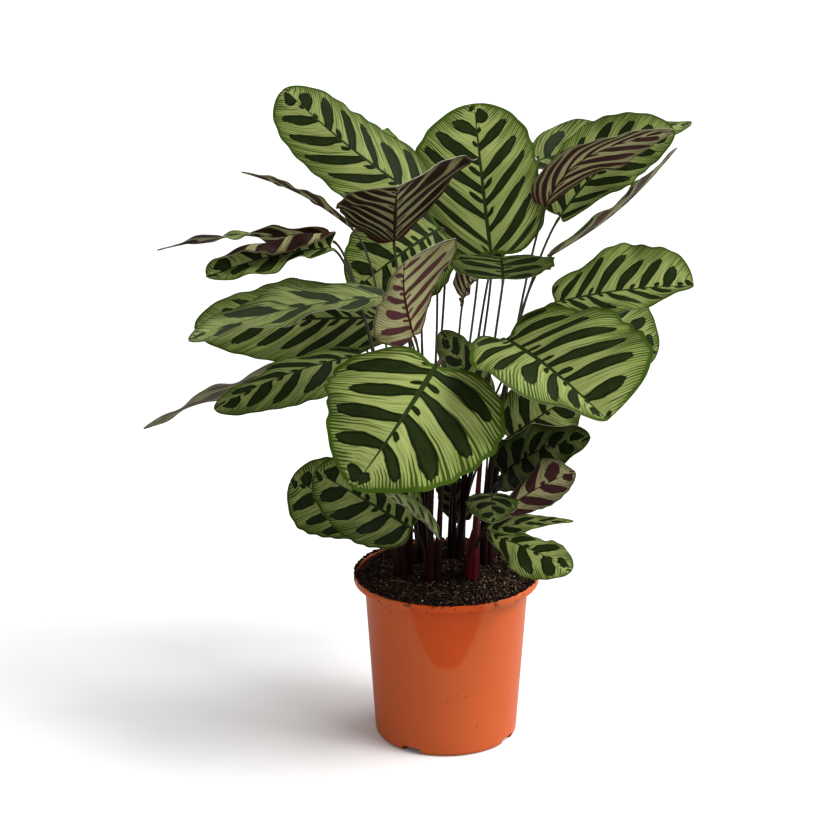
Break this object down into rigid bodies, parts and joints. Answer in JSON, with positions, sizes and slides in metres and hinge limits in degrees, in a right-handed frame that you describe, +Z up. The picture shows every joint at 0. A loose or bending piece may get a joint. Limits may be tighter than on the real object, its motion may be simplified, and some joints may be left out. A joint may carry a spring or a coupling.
{
  "type": "potted calathea",
  "caption": "Bushy house plant with striped, broad oval leaves on thin stalks, in a terracotta-coloured plastic nursery pot filled with soil.",
  "frame": {"origin": "middle of the pot's flat base, on the surface that the pot stands on", "axes": "+Z up along the pot's axis; +X to the viewer's right; +Y away from the viewer, so the front of the plant faces -Y"},
  "size_m": [0.5591, 0.455, 0.6523],
  "materials": {
    "pot": "satin moulded plastic, terracotta orange",
    "soil": "matte, crumbly dark peat",
    "shoot": "satin, dark red-brown",
    "leaf": "satin, striped light and dark green above, cream and maroon below"
  },
  "bodies": {
    "root": {"pot": "pot", "soil": "soil", "shoot_1": "shoot", "shoot_2": "shoot", "shoot_3": "shoot", "shoot_4": "shoot", "shoot_5": "shoot", "shoot_6": "shoot", "leaf_01": "leaf", "leaf_02": "leaf", "leaf_03": "leaf", "leaf_04": "leaf", "leaf_05": "leaf", "leaf_06": "leaf", "leaf_07": "leaf", "leaf_08": "leaf", "leaf_09": "leaf", "leaf_10": "leaf", "leaf_11": "leaf", "leaf_12": "leaf", "leaf_13": "leaf", "leaf_14": "leaf", "leaf_15": "leaf", "leaf_16": "leaf", "leaf_17": "leaf", "leaf_18": "leaf", "leaf_19": "leaf", "leaf_20": "leaf", "leaf_21": "leaf", "leaf_22": "leaf", "leaf_23": "leaf", "leaf_24": "leaf", "leaf_25": "leaf", "leaf_26": "leaf", "leaf_27": "leaf", "leaf_28": "leaf", "leaf_29": "leaf", "leaf_30": "leaf", "leaf_31": "leaf", "leaf_32": "leaf", "leaf_33": "leaf", "leaf_34": "leaf", "leaf_35": "leaf", "leaf_36": "leaf", "leaf_37": "leaf", "leaf_38": "leaf", "leaf_39": "leaf"}
  },
  "joints": []
}
